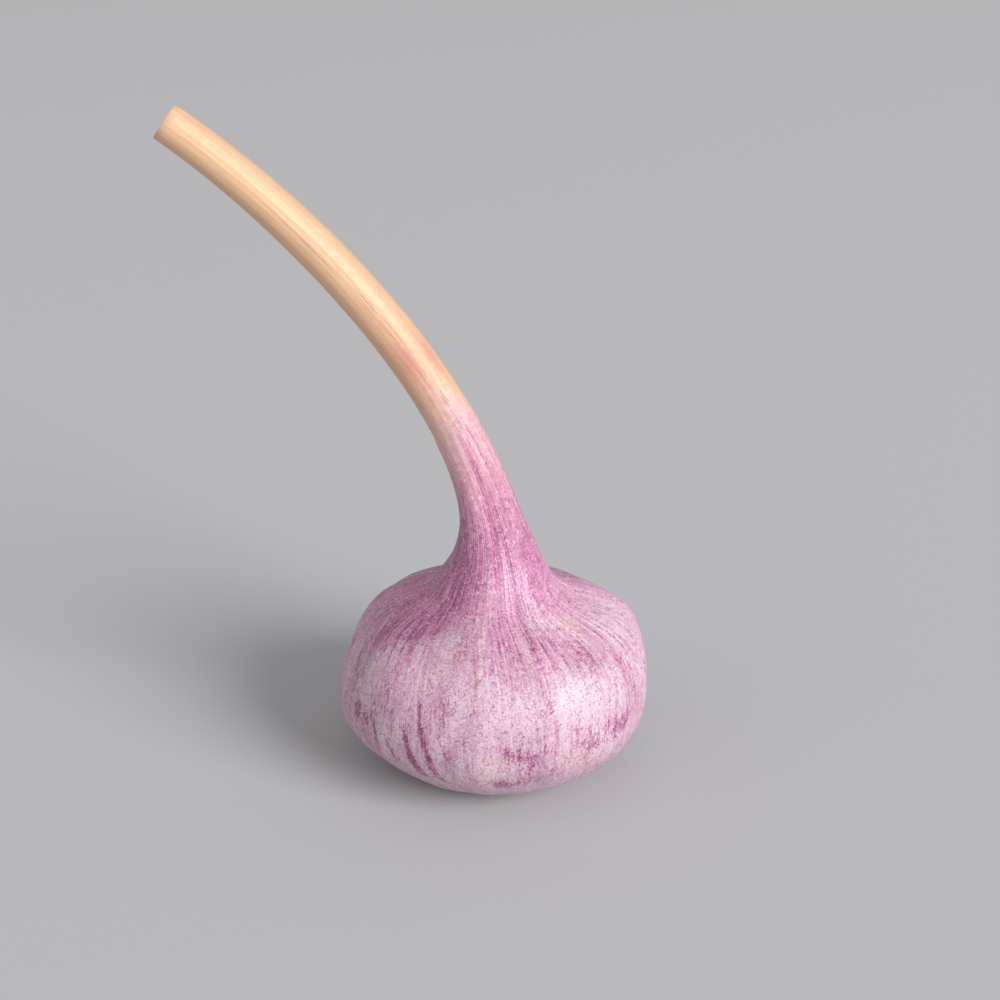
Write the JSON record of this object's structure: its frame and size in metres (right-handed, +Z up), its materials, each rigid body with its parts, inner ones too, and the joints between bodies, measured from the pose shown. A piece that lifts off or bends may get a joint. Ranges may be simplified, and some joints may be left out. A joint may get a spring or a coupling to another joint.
{
  "type": "garlic bulb",
  "caption": "Whole purple-skinned garlic bulb standing on its root end, with its neck and its long dried stem, which bends over to one side.",
  "frame": {"origin": "centre of the root plate's flat middle, on the bulb's axis and in the plane that the bulb stands on", "axes": "+Z up, from the root plate to the neck; the stem bends over towards -X; +Y is the bulb's back"},
  "size_m": [0.0881, 0.0596, 0.1276],
  "materials": {
    "purple_garlic_skin": "satin",
    "dry_root": "matte"
  },
  "bodies": {
    "root": {"bulb_and_stem": "purple_garlic_skin", "root_plate": "dry_root"}
  },
  "joints": []
}
